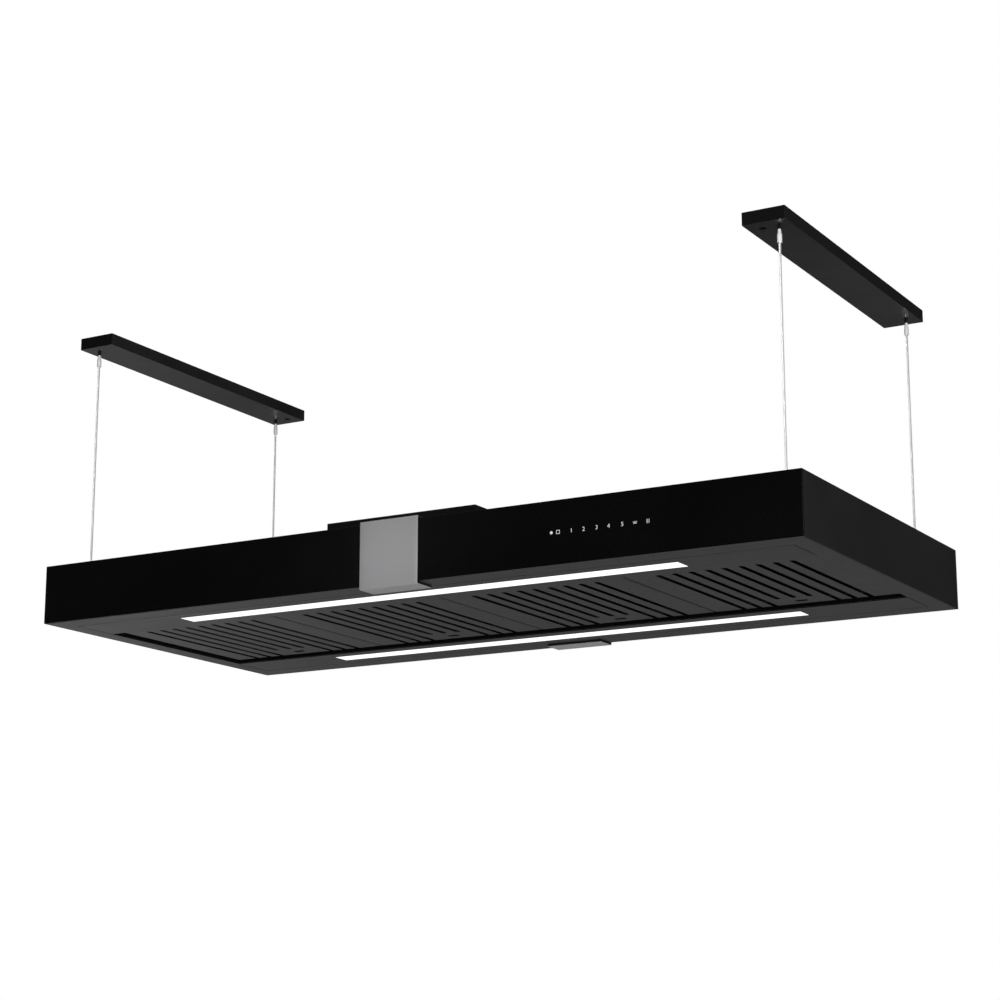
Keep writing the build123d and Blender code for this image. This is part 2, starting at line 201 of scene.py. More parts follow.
# pale to the camera, but no brighter than its own paint in what it throws on the hood
def makeFloor():
    depth = cadBox[0][2] - stageLook["floorDrop"]
    half = stageLook["floorSize"] / 2
    mesh = bpy.data.meshes.new("floor")
    corners = [(-half, -half, depth), (half, -half, depth), (half, half, depth), (-half, half, depth)]
    mesh.from_pydata(corners, [], [(0, 1, 2, 3)])
    floor = addObject("floor", mesh)
    paint = [stageLook["floorPaint"]] * 3 + [1]
    material, tree, shader = newMaterial(
        "paleFloor", {"Base Color": paint, "Roughness": 0.7, "Emission Color": (1, 1, 1, 1)})
    rays = addNode(tree, "LightPath")
    lift = addNode(tree, "Math", operation="MULTIPLY", _1=stageLook["floorLift"])
    join(tree, (rays.outputs["Is Camera Ray"], lift.inputs[0]),
         (lift.outputs[0], shader.inputs["Emission Strength"]))
    mesh.materials.append(material)


bpy.context.scene.view_settings.view_transform = "Standard"
makeCamera()
makeWorld()
for name, look in lamps.items():
    addLamp(name, "AREA", look)
addLamp("strapLamp", "SPOT", strapLamp)  # narrow, so that the black glass beside the strap stays dark
makeFloor()
print("camera, light and floor are in place")


# empty node group with its sockets; inputs are name: (kind, default)
def newGroup(name, inputs, outputs):
    group = bpy.data.node_groups.new(name, "ShaderNodeTree")
    kinds = dict(value="NodeSocketFloat", colour="NodeSocketColor", vector="NodeSocketVector")
    for label, (kind, default) in inputs.items():
        socket = group.interface.new_socket(name=label, in_out="INPUT", socket_type=kinds[kind])
        socket.default_value = default
    for label, kind in outputs.items():
        group.interface.new_socket(name=label, in_out="OUTPUT", socket_type=kinds[kind])
    return group, group.nodes.new("NodeGroupInput"), group.nodes.new("NodeGroupOutput")


# fine orange peel, with slow drifts of tone and gloss, as powder coat and moulded skins have
def makePowderGroup():
    group, start, end = newGroup(
        "powderSkin",
        dict(Colour=("colour", (0.1, 0.1, 0.1, 1)), Tone=("value", 0.15), Grain=("value", 900.0),
             Gloss=("value", 0.45), Drift=("value", 0.08)),
        dict(Colour="colour", Roughness="value", Height="value"),
    )
    place = addNode(group, "TexCoord")
    fine = addNode(group, "TexNoise", _Detail=3.0, _Roughness=0.55)
    slow = addNode(group, "TexNoise", _Scale=3.2, _Detail=4.0, _Roughness=0.6)
    speck = addNode(group, "TexVoronoi", feature="F1")
    speckScale = addNode(group, "Math", operation="MULTIPLY", _1=1.7)
    drift = addNode(group, "MapRange", _From_Min=0.3, _From_Max=0.7, _To_Min=-1.0, _To_Max=1.0)
    tone = addNode(group, "Math", operation="MULTIPLY_ADD", _2=1.0)
    grainTone = addNode(group, "MapRange", _From_Min=0.25, _From_Max=0.75, _To_Min=0.93, _To_Max=1.07)
    product = addNode(group, "Math", operation="MULTIPLY")
    tint = addNode(group, "VectorMath", operation="SCALE")
    rough = addNode(group, "Math", operation="MULTIPLY_ADD")
    height = addNode(group, "Math", operation="MULTIPLY_ADD", _1=0.4)
    join(
        group,
        (place.outputs["Object"], fine.inputs["Vector"]), (place.outputs["Object"], slow.inputs["Vector"]),
        (place.outputs["Object"], speck.inputs["Vector"]), (start.outputs["Grain"], fine.inputs["Scale"]),
        (start.outputs["Grain"], speckScale.inputs[0]), (speckScale.outputs[0], speck.inputs["Scale"]),
        (slow.outputs["Fac"], drift.inputs["Value"]), (drift.outputs[0], tone.inputs[0]),
        (start.outputs["Tone"], tone.inputs[1]), (fine.outputs["Fac"], grainTone.inputs["Value"]),
        (tone.outputs[0], product.inputs[0]), (grainTone.outputs[0], product.inputs[1]),
        (start.outputs["Colour"], tint.inputs[0]), (product.outputs[0], tint.inputs["Scale"]),
        (drift.outputs[0], rough.inputs[0]), (start.outputs["Drift"], rough.inputs[1]),
        (start.outputs["Gloss"], rough.inputs[2]), (speck.outputs["Distance"], height.inputs[0]),
        (fine.outputs["Fac"], height.inputs[2]), (tint.outputs[0], end.inputs["Colour"]),
        (rough.outputs[0], end.inputs["Roughness"]), (height.outputs[0], end.inputs["Height"]),
    )
    return group


# hairlines: noise drawn out along one axis, in two widths, with slow drifts of tone
def makeBrushedGroup():
    group, start, end = newGroup(
        "brushedLines",
        dict(Colour=("colour", (0.5, 0.5, 0.5, 1)), Tone=("value", 0.1),
             Stretch=("vector", (1.0, 90.0, 90.0)), Grain=("value", 30.0), Gloss=("value", 0.3),
             Drift=("value", 0.1)),
        dict(Colour="colour", Roughness="value", Height="value"),
    )
    place = addNode(group, "TexCoord")
    drawn = addNode(group, "VectorMath", operation="MULTIPLY")
    lines = addNode(group, "TexNoise", _Detail=6.0, _Roughness=0.7)
    slow = addNode(group, "TexNoise", _Scale=6.0, _Detail=2.0)
    mixed = addNode(group, "Math", operation="MULTIPLY_ADD", _1=0.35)
    centred = addNode(group, "MapRange", _From_Min=0.45, _From_Max=0.95, _To_Min=-1.0, _To_Max=1.0)
    tone = addNode(group, "Math", operation="MULTIPLY_ADD", _2=1.0)
    tint = addNode(group, "VectorMath", operation="SCALE")
    rough = addNode(group, "Math", operation="MULTIPLY_ADD")
    join(
        group,
        (place.outputs["Object"], drawn.inputs[0]), (start.outputs["Stretch"], drawn.inputs[1]),
        (drawn.outputs[0], lines.inputs["Vector"]), (start.outputs["Grain"], lines.inputs["Scale"]),
        (place.outputs["Object"], slow.inputs["Vector"]), (slow.outputs["Fac"], mixed.inputs[0]),
        (lines.outputs["Fac"], mixed.inputs[2]), (mixed.outputs[0], centred.inputs["Value"]),
        (centred.outputs[0], tone.inputs[0]), (start.outputs["Tone"], tone.inputs[1]),
        (start.outputs["Colour"], tint.inputs[0]), (tone.outputs[0], tint.inputs["Scale"]),
        (centred.outputs[0], rough.inputs[0]), (start.outputs["Drift"], rough.inputs[1]),
        (start.outputs["Gloss"], rough.inputs[2]), (tint.outputs[0], end.inputs["Colour"]),
        (rough.outputs[0], end.inputs["Roughness"]), (lines.outputs["Fac"], end.inputs["Height"]),
    )
    return group


# edges rubbed lighter and duller, broken up by noise, and a little dust on faces that look up
def makeRubGroup():
    group, start, end = newGroup(
        "edgeRub",
        dict(Colour=("colour", (0.1, 0.1, 0.1, 1)), Roughness=("value", 0.4),
             Bare=("colour", (0.3, 0.3, 0.3, 1)), Amount=("value", 0.5), Reach=("value", 0.0008),
             Dust=("value", 0.1)),
        dict(Colour="colour", Roughness="value"),
    )
    place = addNode(group, "TexCoord")
    shape = addNode(group, "NewGeometry")
    soft = addNode(group, "Bevel", samples=6)
    facing = addNode(group, "VectorMath", operation="DOT_PRODUCT")
    edge = addNode(group, "MapRange", _From_Min=0.995, _From_Max=0.9, _To_Min=0.0, _To_Max=1.0)
    patch = addNode(group, "TexNoise", _Scale=45.0, _Detail=5.0, _Roughness=0.65)
    broken = addNode(group, "MapRange", _From_Min=0.35, _From_Max=0.65, _To_Min=0.25, _To_Max=1.0)
    worn = addNode(group, "Math", operation="MULTIPLY")
    mask = addNode(group, "Math", operation="MULTIPLY", use_clamp=True)
    bareMix = addNode(group, "Mix", data_type="RGBA")
    dull = addNode(group, "Math", operation="MULTIPLY_ADD", _1=0.2)
    upward = addNode(group, "SeparateXYZ")
    lying = addNode(group, "MapRange", _From_Min=0.6, _From_Max=1.0, _To_Min=0.0, _To_Max=1.0)
    cloud = addNode(group, "TexNoise", _Scale=9.0, _Detail=6.0, _Roughness=0.7)
    dust = addNode(group, "Math", operation="MULTIPLY")
    dustMask = addNode(group, "Math", operation="MULTIPLY", use_clamp=True)
    dustMix = addNode(group, "Mix", data_type="RGBA")
    dustMix.inputs["B"].default_value = (0.32, 0.31, 0.3, 1)
    dusty = addNode(group, "Math", operation="MULTIPLY_ADD", _1=0.5, use_clamp=True)
    colourA, colourB, colourOut = 6, 7, 2  # a mix node's sockets for colour, by number
    join(
        group,
        (start.outputs["Reach"], soft.inputs["Radius"]), (soft.outputs[0], facing.inputs[0]),
        (shape.outputs["Normal"], facing.inputs[1]), (facing.outputs["Value"], edge.inputs["Value"]),
        (place.outputs["Object"], patch.inputs["Vector"]), (patch.outputs["Fac"], broken.inputs["Value"]),
        (edge.outputs[0], worn.inputs[0]), (broken.outputs[0], worn.inputs[1]),
        (worn.outputs[0], mask.inputs[0]), (start.outputs["Amount"], mask.inputs[1]),
        (mask.outputs[0], bareMix.inputs["Factor"]), (start.outputs["Colour"], bareMix.inputs[colourA]),
        (start.outputs["Bare"], bareMix.inputs[colourB]), (mask.outputs[0], dull.inputs[0]),
        (start.outputs["Roughness"], dull.inputs[2]), (shape.outputs["Normal"], upward.inputs[0]),
        (upward.outputs["Z"], lying.inputs["Value"]), (place.outputs["Object"], cloud.inputs["Vector"]),
        (lying.outputs[0], dust.inputs[0]), (cloud.outputs["Fac"], dust.inputs[1]),
        (dust.outputs[0], dustMask.inputs[0]), (start.outputs["Dust"], dustMask.inputs[1]),
        (dustMask.outputs[0], dustMix.inputs["Factor"]),
        (bareMix.outputs[colourOut], dustMix.inputs[colourA]),
        (dustMask.outputs[0], dusty.inputs[0]), (dull.outputs[0], dusty.inputs[2]),
        (dustMix.outputs[colourOut], end.inputs["Colour"]), (dusty.outputs[0], end.inputs["Roughness"]),
    )
    return group


powderSkin = makePowderGroup()
brushedLines = makeBrushedGroup()
edgeRub = makeRubGroup()
print("shader groups are built")


# grey that leans a little to blue
def grey(level):
    return (level, level, level * 1.02, 1)


# one material: a skin group, then rubbed edges and dust, then the shader with its own constants
def makeFinish(name, skin, colour, tone=0.15, grain=900.0, gloss=0.45, drift=0.08, bump=0.15, depth=0.00008,
               bare=0.3, rub=0.3, reach=0.0008, dust=0.1, stretch=(1.0, 90.0, 90.0), sockets=None):
    material, tree, shader = newMaterial(name, sockets or {})
    skinNode = addNode(tree, "Group", node_tree=skin)
    rubNode = addNode(tree, "Group", node_tree=edgeRub)
    relief = addNode(tree, "Bump", _Strength=bump, _Distance=depth)
    setInputs(skinNode, dict(Colour=colour, Tone=tone, Grain=grain, Gloss=gloss, Drift=drift))
    if skin is brushedLines:
        setInputs(skinNode, dict(Stretch=stretch))
    setInputs(rubNode, dict(Bare=grey(bare), Amount=rub, Reach=reach, Dust=dust))
    join(
        tree,
        (skinNode.outputs["Colour"], rubNode.inputs["Colour"]),
        (skinNode.outputs["Roughness"], rubNode.inputs["Roughness"]),
        (skinNode.outputs["Height"], relief.inputs["Height"]),
        (rubNode.outputs["Colour"], shader.inputs["Base Color"]),
        (rubNode.outputs["Roughness"], shader.inputs["Roughness"]),
        (relief.outputs[0], shader.inputs["Normal"]),
    )
    return material


metal = {"Metallic": 1.0}
finishes = dict(
    blackGlass=makeFinish("blackGlass", powderSkin, grey(0.009), tone=0.3, grain=160.0, gloss=0.055,
                          drift=0.03, bump=0.02, bare=0.01, rub=0.2, reach=0.0003, dust=0.0,
                          sockets={"Specular IOR Level": 0.35}),
    casePaint=makeFinish("casePaint", powderSkin, grey(0.016), gloss=0.5, bump=0.25, bare=0.12, rub=0.5),
    undersidePaint=makeFinish("undersidePaint", powderSkin, grey(0.065), gloss=0.5, bump=0.25, bare=0.16,
                              rub=0.4, dust=0.0),
    filterPaint=makeFinish("filterPaint", powderSkin, grey(0.061), gloss=0.46, bump=0.25, bare=0.14,
                           rub=0.35, dust=0.05),
    # painted shade: near black for the recessed well's walls and tray, which look dark only from the shadow
    # they lie in
    paintedWellShade=makeFinish("paintedWellShade", powderSkin, grey(0.003), gloss=0.7, bare=0.01, rub=0.2, dust=0.0,
                         sockets={"Specular IOR Level": 0.25}),
    barPaint=makeFinish("barPaint", powderSkin, grey(0.009), gloss=0.42, bump=0.2, bare=0.03, rub=0.3),
    coverPaint=makeFinish("coverPaint", powderSkin, grey(0.004), gloss=0.42, bare=0.02, rub=0.3),
    brushedSteel=makeFinish("brushedSteel", brushedLines, grey(0.75), tone=0.06, grain=24.0, gloss=0.45,
                            drift=0.06, bump=0.12, depth=0.00004, bare=0.8, rub=0.4, reach=0.0006, dust=0.0,
                            stretch=(1.0, 70.0, 70.0), sockets={"Metallic": 0.3}),
    chrome=makeFinish("chrome", brushedLines, grey(0.95), tone=0.04, grain=60.0, gloss=0.2, drift=0.04,
                      bump=0.05, bare=0.9, rub=0.3, dust=0.0, stretch=(9.0, 9.0, 90.0),
                      sockets={"Metallic": 0.35}),
    ropeSteel=makeFinish("ropeSteel", brushedLines, grey(0.66), tone=0.12, grain=40.0, gloss=0.3, bump=0.1,
                         bare=0.9, rub=0.2, reach=0.0002, dust=0.0, stretch=(90.0, 90.0, 8.0),
                         sockets={"Metallic": 0.5}),
    platedSteel=makeFinish("platedSteel", powderSkin, (0.56, 0.57, 0.6, 1), gloss=0.32, bare=0.7,
                           sockets=metal),
    galvanised=makeFinish("galvanised", powderSkin, (0.42, 0.43, 0.45, 1), tone=0.3, grain=120.0, gloss=0.42,
                          bare=0.55, sockets=metal),
    aluminium=makeFinish("aluminium", brushedLines, (0.7, 0.71, 0.72, 1), gloss=0.34, bare=0.8,
                         stretch=(1.0, 60.0, 60.0), sockets=metal),
    blackNylon=makeFinish("blackNylon", powderSkin, grey(0.012), grain=1400.0, gloss=0.55, bare=0.05),
    greyHousing=makeFinish("greyHousing", powderSkin, grey(0.16), grain=1200.0, gloss=0.5, bare=0.25),
    boardGreen=makeFinish("boardGreen", powderSkin, (0.01, 0.07, 0.03, 1), tone=0.3, grain=260.0, gloss=0.3,
                          bare=0.2),
    nickel=makeFinish("nickel", powderSkin, (0.6, 0.59, 0.56, 1), gloss=0.2, bare=0.8, sockets=metal),
    # painted shade: near black for the baffles seen through the filter slots, which look dark only from the
    # shadow inside the filter
    paintedBaffleShade=makeFinish("paintedBaffleShade", powderSkin, grey(0.003), gloss=0.7, bare=0.01, rub=0.2, dust=0.0,
                           sockets={"Specular IOR Level": 0.2}),
    motorSteel=makeFinish("motorSteel", powderSkin, grey(0.09), tone=0.25, gloss=0.38, bare=0.3),
    fanPlastic=makeFinish("fanPlastic", powderSkin, grey(0.04), grain=700.0, gloss=0.5, bare=0.1),
    housingPlastic=makeFinish("housingPlastic", powderSkin, grey(0.03), grain=700.0, gloss=0.55, bare=0.08),
    charcoal=makeFinish("charcoal", powderSkin, grey(0.009), tone=0.5, grain=260.0, gloss=0.9, bump=0.8,
                        depth=0.0008, bare=0.02, rub=0.1),
)


# opal plastic lit from behind, its glow as uneven as its skin
def makeGlowFinish(name, strength, tint):
    material, tree, shader = newMaterial(name, {"Emission Strength": strength})
    skinNode = addNode(tree, "Group", node_tree=powderSkin)
    setInputs(skinNode, dict(Colour=tint, Tone=0.03, Grain=500.0, Gloss=0.35, Drift=0.05))
    join(tree, (skinNode.outputs["Colour"], shader.inputs["Base Color"]),
         (skinNode.outputs["Roughness"], shader.inputs["Roughness"]),
         (skinNode.outputs["Colour"], shader.inputs["Emission Color"]))
    return material


white = (1, 1, 1, 1)
finishes["lightOpal"] = makeGlowFinish("lightOpal", 1.0, white)
finishes["touchPrint"] = makeGlowFinish("touchPrint", 0.5, white)
print("finishes are built:", len(finishes))

slotFinishes = dict(
    black_glass="blackGlass", chrome_gripper="chrome", plated_steel="platedSteel", wire_rope="ropeSteel",
    black_nylon="blackNylon", bar_paint="barPaint", galvanised_steel="galvanised", case_paint="casePaint",
    underside_paint="undersidePaint", light_diffuser="lightOpal", led_aluminium="aluminium",
    grey_housing="greyHousing", circuit_board="boardGreen", well_paint="paintedWellShade", magnet_nickel="nickel",
    filter_paint="filterPaint", filter_baffle="paintedBaffleShade", pull_plastic="blackNylon",
    blower_plastic="housingPlastic", motor_steel="motorSteel", impeller_plastic="fanPlastic",
    cover_paint="coverPaint", charcoal="charcoal", backing_plastic="blackNylon", brushed_trim="brushedSteel",
)
nodeSlots = {part["node"]: part["material_slot"] for part in frame["record"]["subparts"]}
for name, node in nodes.items():
    node.data.materials.clear()
    node.data.materials.append(finishes[slotFinishes[nodeSlots[name]]])
print("every carried-over node has its finish")


# quads of a grid of points, row by row; a closed direction joins its last line to its first
def gridFaces(rows, columns, closeRows=False, closeColumns=False):
    down = np.arange(rows if closeRows else rows - 1)
    along = np.arange(columns if closeColumns else columns - 1)
    r, c = (a.ravel() for a in np.meshgrid(down, along, indexing="ij"))
    r2, c2 = (r + 1) % rows, (c + 1) % columns
    return np.stack([r * columns + c, r * columns + c2, r2 * columns + c2, r2 * columns + c], axis=1)


# faces that close the first and the last of a stack of rings
def endCaps(rings, sides):
    return [list(range(sides))[::-1], list(range((rings - 1) * sides, rings * sides))]


# shells as one: the faces of each count on from the points before it
def combine(shells):
    points, faces, count = [], [], 0
    for shellPoints, shellFaces in shells:
        points.append(shellPoints)
        faces += [[int(i) + count for i in face] for face in shellFaces]
        count += len(shellPoints)
    return np.concatenate(points), faces


# the same shell at several places
def copies(points, faces, places):
    return combine([(points + np.asarray(place), faces) for place in places])


# mesh from points and faces, with its faces outwards, riding on a body in place of CAD nodes
def makePiece(name, points, faces, replaced, body="hood", finish=None, merge=0.0, smooth=35):
    mesh = bpy.data.meshes.new(name)
    mesh.from_pydata(np.asarray(points).tolist(), [], [[int(i) for i in face] for face in faces])
    work = bmesh.new()
    work.from_mesh(mesh)
    if merge:
        bmesh.ops.remove_doubles(work, verts=work.verts, dist=merge)
    bmesh.ops.recalc_face_normals(work, faces=work.faces)
    work.to_mesh(mesh)
    work.free()
    mesh.shade_smooth()
    mesh.set_sharp_from_angle(angle=math.radians(smooth))
    piece = addObject(name, mesh)
    slotName = nodeSlots[replaced[0]] if replaced else None
    mesh.materials.append(finishes[finish or slotFinishes[slotName]])
    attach(piece, body)
    if replaced:
        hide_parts(*replaced)
    return piece


cornerSteps = 6
leastCorner = 0.02 * mm


# rectangle with round corners: each corner is a quarter circle about its own centre
def roundedOutline(halfX, halfY, radius):
    angle = np.linspace(0, quarterTurn, cornerSteps + 1)
    turns = np.arange(4)[:, None] * quarterTurn
    x = np.array([1, -1, -1, 1])[:, None] * (halfX - radius) + radius * np.cos(angle + turns)
    y = np.array([1, 1, -1, -1])[:, None] * (halfY - radius) + radius * np.sin(angle + turns)
    return np.stack([x.ravel(), y.ravel()], axis=1)


# outline for a shell: half sizes grown by an amount, corner radius and height
def ring(half, grow, corner, height):
    return half[0] + grow, half[1] + grow, corner, height


# rounded outlines joined in order about a centre, closed with caps or back to the first outline
def ringShell(rings, centre, axes=plainAxes, closed=False):
    sides = 4 * (cornerSteps + 1)
    layers = [np.column_stack([roundedOutline(a, b, r), np.full(sides, h)]) for a, b, r, h in rings]
    points = np.stack(layers) @ axes + np.asarray(centre)
    faces = gridFaces(len(rings), sides, closeRows=closed, closeColumns=True).tolist()
    return points.reshape(-1, 3), faces if closed else faces + endCaps(len(rings), sides)


# middle of a box as seen from above, at height 0
def planMiddle(low, high):
    return (low + high) / 2 * np.array([1, 1, 0])


# rings that turn one edge of a slab through a quarter circle of the bend's radius
def softEdge(half, radius, height, bend, outwards):
    angle = np.linspace(0, quarterTurn, 5)
    inset = bend * (1 - np.cos(angle))
    rise = outwards * bend * (np.sin(angle) - 1)
    if outwards < 0:
        inset, rise = inset[::-1], rise[::-1]
    return [ring(half, -i, max(radius - i, leastCorner), height + h) for i, h in zip(inset, rise)]


# slab with all its edges rounded, given by half sizes and half thickness
def slabRings(half, radius, halfThick, bend):
    return softEdge(half, radius, -halfThick, bend, -1) + softEdge(half, radius, halfThick, bend, 1)


# profile of radius and height carried round the Z axis; ripple adds to the radius by angle and height
def turnedShell(profile, sides=48, ripple=None):
    profile = np.asarray(profile, float)
    angle = np.linspace(0, fullTurn, sides, endpoint=False)
    radius = profile[:, :1] + (ripple(angle[None, :], profile[:, 1:]) if ripple else 0)
    radius = np.maximum(radius + 0 * angle, 1e-6)
    height = profile[:, 1:] + 0 * angle
    points = np.stack([radius * np.cos(angle), radius * np.sin(angle), height], axis=2)
    faces = gridFaces(len(profile), sides, closeColumns=True).tolist() + endCaps(len(profile), sides)
    return points.reshape(-1, 3), faces


# points of an open line whose inner corners are arcs that touch both of their runs
def bentPath(corners, radius, steps=6):
    corners = np.asarray(corners, float)
    points = [corners[0]]
    for before, here, after in zip(corners, corners[1:], corners[2:]):
        inward, outward = before - here, after - here
        inward, outward = inward / np.linalg.norm(inward), outward / np.linalg.norm(outward)
        half = math.acos(np.clip(inward @ outward, -1, 1)) / 2
        reach = radius / math.tan(half)
        middle = here + (inward + outward) / np.linalg.norm(inward + outward) * radius / math.sin(half)
        first, second = here + inward * reach - middle, here + outward * reach - middle
        share = np.linspace(0, 1, steps + 1)[:, None]
        arc = first * (1 - share) + second * share
        points += list(middle + arc / np.linalg.norm(arc, axis=1)[:, None] * radius)
    return np.array(points + [corners[-1]])


# a node's own shape with its loose triangles merged, flat faces joined and edges rounded
def refinedCopy(name, node, width, segments=2):
    mesh = nodes[node].data.copy()
    mesh.name = name
    work = bmesh.new()
    work.from_mesh(mesh)
    bmesh.ops.remove_doubles(work, verts=work.verts, dist=0.01 * mm)
    bmesh.ops.dissolve_limit(work, angle_limit=math.radians(1), verts=work.verts, edges=work.edges)
    work.to_mesh(mesh)
    work.free()
    mesh.shade_smooth()
    mesh.set_sharp_from_angle(angle=math.radians(40))
    piece = addObject(name, mesh)
    rounding = piece.modifiers.new("rounding", "BEVEL")
    rounding.width = width
    rounding.segments = segments
    rounding.limit_method = "ANGLE"
    rounding.angle_limit = math.radians(30)
    rounding.harden_normals = True
    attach(piece, "hood")
    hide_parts(node)


ropeLook = dict(strands=6, strandRadius=2 / 3 * mm, layLength=24 * mm, stepsPerLay=18, sides=8)


# strands wound round a straight core: each is a tube about a helix in which angle grows with height
def makeRope(node):
    low, high = boxOf(node)
    middle = planMiddle(low, high)
    radius, lay, sides = (ropeLook[key] for key in ("strandRadius", "layLength", "sides"))
    steps = int((high[2] - low[2]) / lay * ropeLook["stepsPerLay"])
    height = np.linspace(low[2], high[2], steps)[None, :, None]
    around = np.linspace(0, fullTurn, sides, endpoint=False)[None, None, :]
    strand = np.arange(ropeLook["strands"])[:, None, None]
    angle = fullTurn * ((height - low[2]) / lay + strand / ropeLook["strands"])
    reach = 2 * radius
    slope = fullTurn * reach / lay
    tilt = math.hypot(1, slope)
    out, side = radius * np.cos(around), radius * np.sin(around)
    x = (reach + out) * np.cos(angle) - side * np.sin(angle) / tilt
    y = (reach + out) * np.sin(angle) + side * np.cos(angle) / tilt
    z = np.clip(height - side * slope / tilt, low[2], high[2]) + 0 * strand
    wound = np.stack([x + middle[0], y + middle[1], z], axis=3)
    tube = gridFaces(steps, sides, closeColumns=True).tolist() + endCaps(steps, sides)
    core, coreFaces = turnedShell([(radius, low[2]), (radius, high[2])], sides=8)
    points, faces = combine([(one.reshape(-1, 3), tube) for one in wound] + [(core + middle, coreFaces)])
    return makePiece(node.replace("wire", "rope"), points, faces, [node], smooth=60)


# middle of each wire, at height 0
def suspensionPlaces():
    wires = [name for name in sorted(nodes) if name.startswith(("wire_front", "wire_rear"))]
    return [planMiddle(*boxOf(name)) for name in wires]


# lowest and highest height of a node
def heightsOf(node):
    low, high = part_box(node)
    return low[2], high[2]


# part of the suspension that is the same shape at each of the four wires
def makeSet(name, node, shell, smooth=35):
    points, faces = copies(*shell, suspensionPlaces())
    return makePiece(name, points, faces, [node], smooth=smooth)


gripperLook = dict(neck=2.5 * mm, barrel=4.15 * mm, soft=0.4 * mm, coneShare=0.53, barrelShare=0.97,
                   sides=112, knurl=0.05 * mm, knurlTop=0.62, knurlFoot=0.14, ridges=28, climb=4.2)


# cable gripper: its radius eases from the neck to the barrel by a half cosine; the foot is flat, and
# two crossing waves of angle and height cut the knurl into the barrel
def makeGrippers():
    low, high = heightsOf("wire_grippers")
    look = gripperLook
    neck, wide, soft, full = look["neck"], look["barrel"], look["soft"], high - low
    cone = [(neck + (wide - neck) * (0.5 - 0.5 * math.cos(math.pi * t)), high - look["coneShare"] * full * t)
            for t in np.linspace(0, 1, 12)]
    barrel = [(wide, high - full * t) for t in np.linspace(look["coneShare"], look["barrelShare"], 16)[1:]]
    foot = [(wide - soft * (1 - math.sin(a)), low + soft * (1 - math.cos(a)))
            for a in np.linspace(quarterTurn, 0, 5)]

    def knurl(angle, height):
        inBarrel = (height < high - look["knurlTop"] * full) & (height > low + look["knurlFoot"] * full)
        turn, climb = look["ridges"] * angle, height / mm * look["climb"]
        waves = np.cos(turn + climb) * np.cos(turn - climb)
        return np.where(inBarrel, -look["knurl"] * (0.5 + 0.5 * waves), 0)

    shell = turnedShell(cone + barrel + foot, sides=look["sides"], ripple=knurl)
    return makeSet("gripperSet", "wire_grippers", shell, smooth=40)


collarLook = dict(radius=3.25 * mm, groove=0.35 * mm, grooves=5, rows=41)


# threaded collars: the radius waves with height
def makeCollars():
    low, high = heightsOf("stud_collars")
    look = collarLook
    height = np.linspace(high, low, look["rows"])
    wave = np.cos(fullTurn * look["grooves"] * np.linspace(0, 1, look["rows"]))
    radius = look["radius"] - look["groove"] * (0.5 - 0.5 * wave)
    makeSet("collarSet", "stud_collars", turnedShell(np.column_stack([radius, height])))


anchorLook = dict(stud=3 * mm, flange=6 * mm, soft=0.4 * mm, step=0.5 * mm, foot=5 * mm, shoulder=5 * mm,
                  waist=4.2 * mm, waistShare=0.7, mouth=2.4 * mm, flats=6)


# six-sided foot under a cone for the rope: its flats come from the distance to a hexagon's sides,
# and the cone's radius falls with the square of height, then evenly
def makeAnchors():
    low, high = heightsOf("wire_anchors")
    top = boxOf("top_panel")[1][2]
    look = anchorLook
    stud, flange, soft, waist, foot = (look[key] for key in ("stud", "flange", "soft", "waist", "foot"))
    rise, share = high - top - foot, look["waistShare"]
    profile = [(stud, low), (stud, top), (flange - soft, top), (flange, top + soft)]
    profile += [(flange, top + foot * s) for s in np.linspace(0.1, 0.9, 8)]
    profile += [(flange - look["step"], top + foot)]
    profile += [(waist + (look["shoulder"] - waist) * (1 - s) ** 2, top + foot + rise * s * share)
                for s in np.linspace(0, 1, 8)]
    profile += [(waist + (look["mouth"] - waist) * s, top + foot + rise * (share + (1 - share) * s))
                for s in np.linspace(0.1, 1, 6)]

    def flats(angle, height):
        step = fullTurn / look["flats"]
        hexagon = math.cos(step / 2) / np.cos((angle % step) - step / 2)
        onFoot = (height > top + soft / 2) & (height < top + foot * 1.01)
        return np.where(onFoot, flange * (hexagon - 1), 0)

    makeSet("anchorSet", "wire_anchors", turnedShell(profile, sides=96, ripple=flats))


ropes = []
for side in ("left", "right"):
    for end in ("front", "rear"):
        ropes.append(makeRope(f"wire_{end}_{side}"))
    refinedCopy(f"ceilingBar.{side}", f"ceiling_bar_{side}", 0.5 * mm, 3)
makeRopeLamp(ropes + [makeGrippers()])
makeCollars()
makeAnchors()
print("suspension is made")

caseLook = dict(edge=0.4 * mm, corner=0.6 * mm, sheet=1.5 * mm, wall=3 * mm, seam=1.5 * mm, bend=0.25 * mm,
                openingCorner=0.1 * mm, lipCorner=1 * mm, seamCorner=0.8 * mm, windowCorner=0.5 * mm,
                windowBend=0.3 * mm)
diffuserLook = dict(flange=5 * mm, gap=0.2 * mm, corner=1 * mm, crown=0.1 * mm, depth=1.5 * mm)
upright = np.array([[1.0, 0, 0], [0, 0, 1.0], [0, -1.0, 0]])
sideways = np.array([[0, 1.0, 0], [0, 0, 1.0], [1.0, 0, 0]])


# upright slab with rounded edges that fills its node's box
def makePanel(name, node, axes):
    low, high = boxOf(node)
    size = np.abs(axes @ ((high - low) / 2))
    rings = slabRings(size, caseLook["corner"], size[2], caseLook["edge"])
    points, faces = ringShell(rings, (low + high) / 2, axes)
    makePiece(name, points, faces, [node], merge=0.005 * mm)


# painted shade: upright faces behind the underside, on the well and seam walls, take the near-black well
# finish for the shadow they lie in
def paintWallShade(piece, base):
    piece.data.materials.append(finishes["paintedWellShade"])
    for face in piece.data.polygons:
        if abs(face.normal[2]) < 0.6 and face.center[2] > base + 0.2 * mm:
            face.material_index = 1


